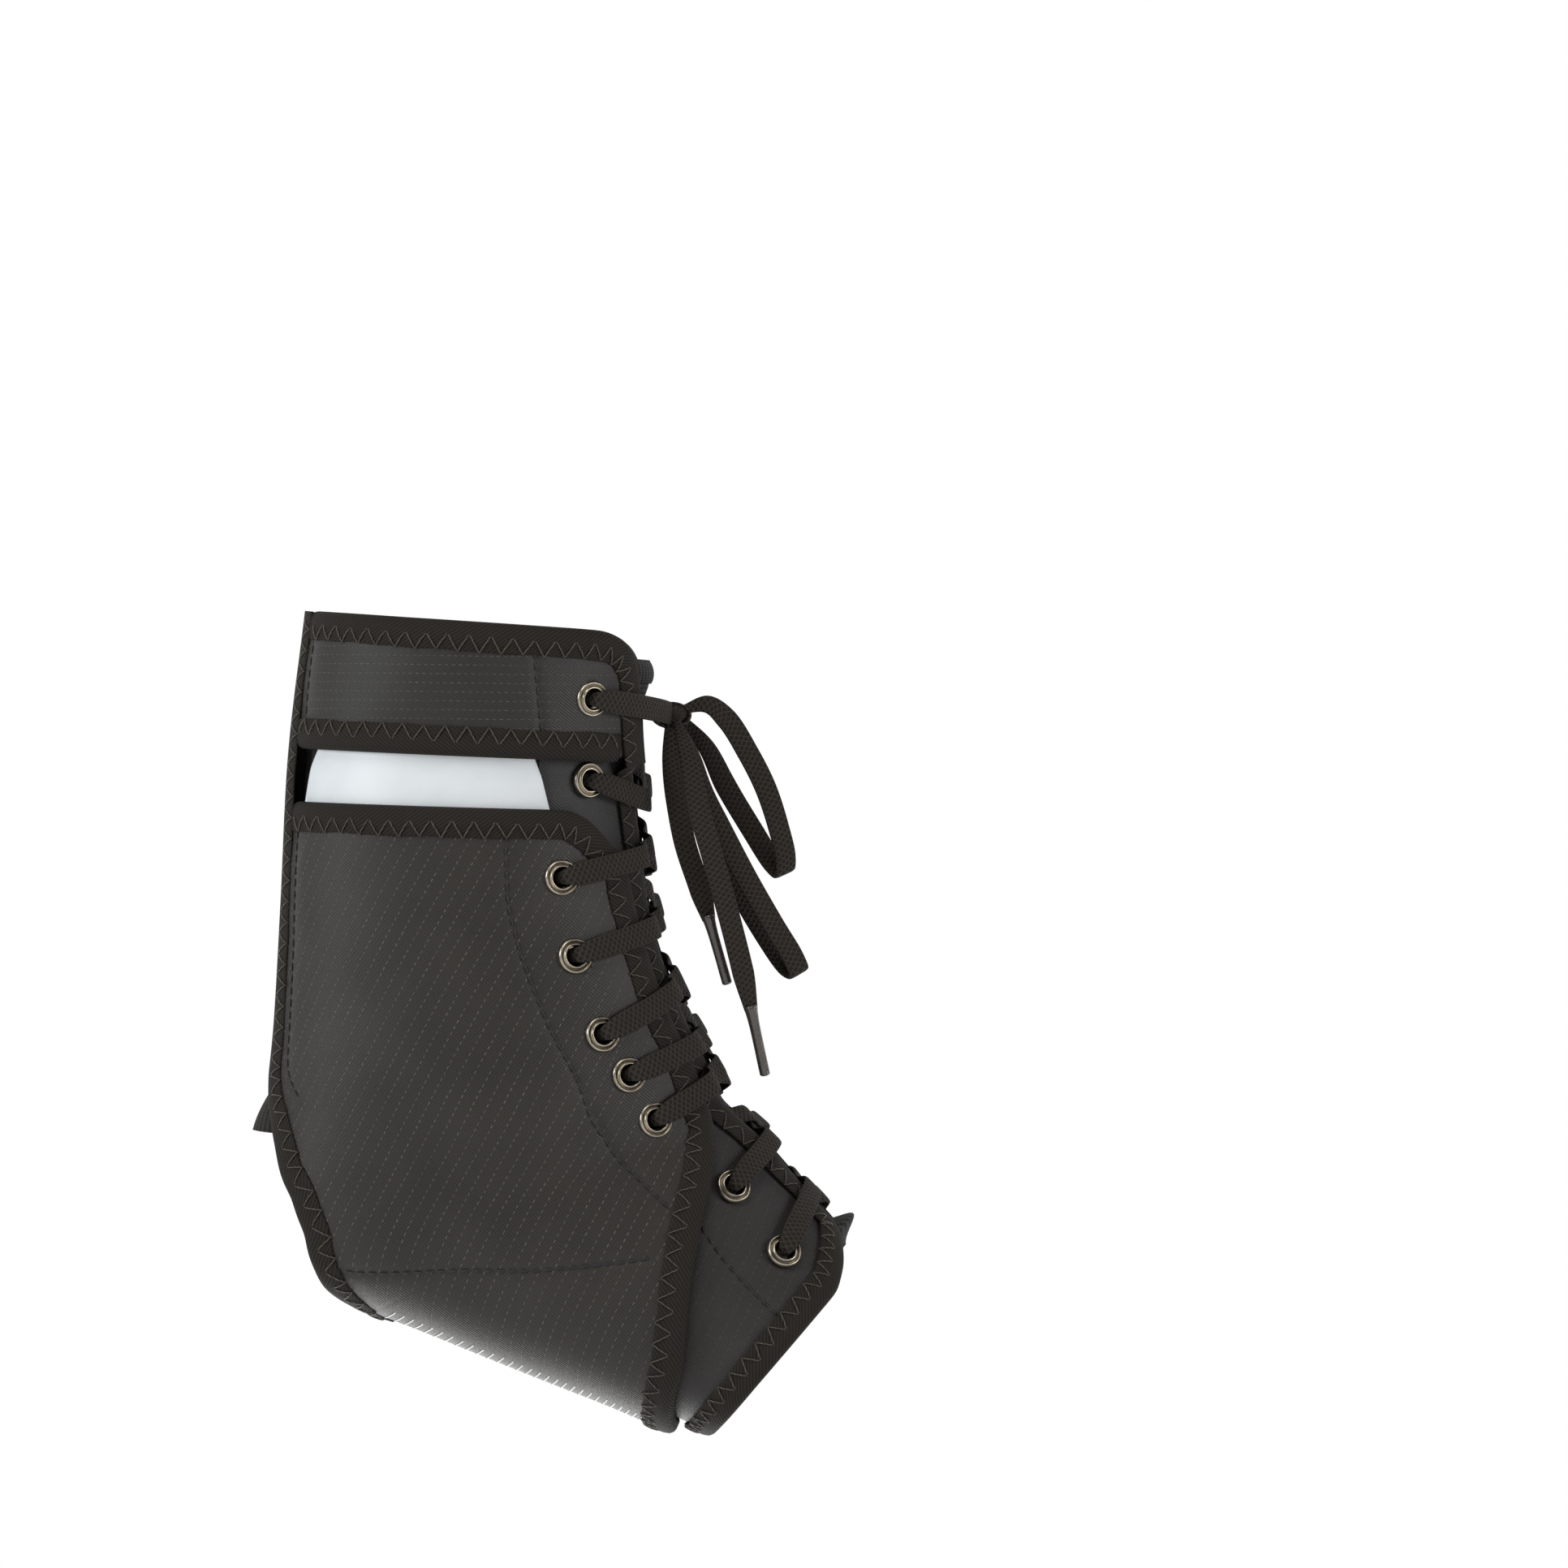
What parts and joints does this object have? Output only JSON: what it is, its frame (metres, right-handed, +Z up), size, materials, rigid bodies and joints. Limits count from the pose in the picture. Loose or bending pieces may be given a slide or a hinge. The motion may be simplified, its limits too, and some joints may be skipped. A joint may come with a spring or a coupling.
{
  "type": "ankle brace",
  "caption": "Lace-up ankle brace with padded tongue, bound edges, side stay pockets, open heel and a tied bow, shaped as worn on a pointed foot.",
  "frame": {"origin": "middle of the wearer's ankle joint, inside the brace", "axes": "+X towards the toes, +Y towards the far (inner) side of the foot, +Z up the leg"},
  "size_m": [0.1501, 0.0846, 0.2138],
  "materials": {
    "shell_cloth": "satin woven cloth",
    "overlay_cloth": "twill with pale pin lines",
    "edge_tape": "matt twill tape",
    "stay_plastic": "satin",
    "tongue_pad": "matt padded cloth",
    "elastic_web": "matt knit",
    "lace_braid": "matt flat braid",
    "eyelet_metal": "polished dark nickel",
    "aglet_plastic": "glossy"
  },
  "bodies": {
    "root": {"base_shell_near": "shell_cloth", "top_band_near": "overlay_cloth", "pocket_panel_near": "overlay_cloth", "stay_near": "stay_plastic", "rear_tape_near": "edge_tape", "base_tape_near": "edge_tape", "band_tape_near": "edge_tape", "pocket_tape_near": "edge_tape", "eyelet_near_1": "eyelet_metal", "eyelet_near_2": "eyelet_metal", "eyelet_near_3": "eyelet_metal", "eyelet_near_4": "eyelet_metal", "eyelet_near_5": "eyelet_metal", "eyelet_near_6": "eyelet_metal", "eyelet_near_7": "eyelet_metal", "eyelet_near_8": "eyelet_metal", "eyelet_near_9": "eyelet_metal", "base_shell_far": "shell_cloth", "top_band_far": "overlay_cloth", "pocket_panel_far": "overlay_cloth", "stay_far": "stay_plastic", "rear_tape_far": "edge_tape", "base_tape_far": "edge_tape", "band_tape_far": "edge_tape", "pocket_tape_far": "edge_tape", "eyelet_far_1": "eyelet_metal", "eyelet_far_2": "eyelet_metal", "eyelet_far_3": "eyelet_metal", "eyelet_far_4": "eyelet_metal", "eyelet_far_5": "eyelet_metal", "eyelet_far_6": "eyelet_metal", "eyelet_far_7": "eyelet_metal", "eyelet_far_8": "eyelet_metal", "eyelet_far_9": "eyelet_metal", "tongue": "tongue_pad", "tongue_binding": "edge_tape", "rear_web": "elastic_web", "lace_from_near": "lace_braid", "lace_from_far": "lace_braid", "lace_knot": "lace_braid", "lace_loop_upper": "lace_braid", "lace_loop_lower": "lace_braid", "lace_end_short": "lace_braid", "lace_end_long": "lace_braid", "aglet_short": "aglet_plastic", "aglet_long": "aglet_plastic"}
  },
  "joints": []
}
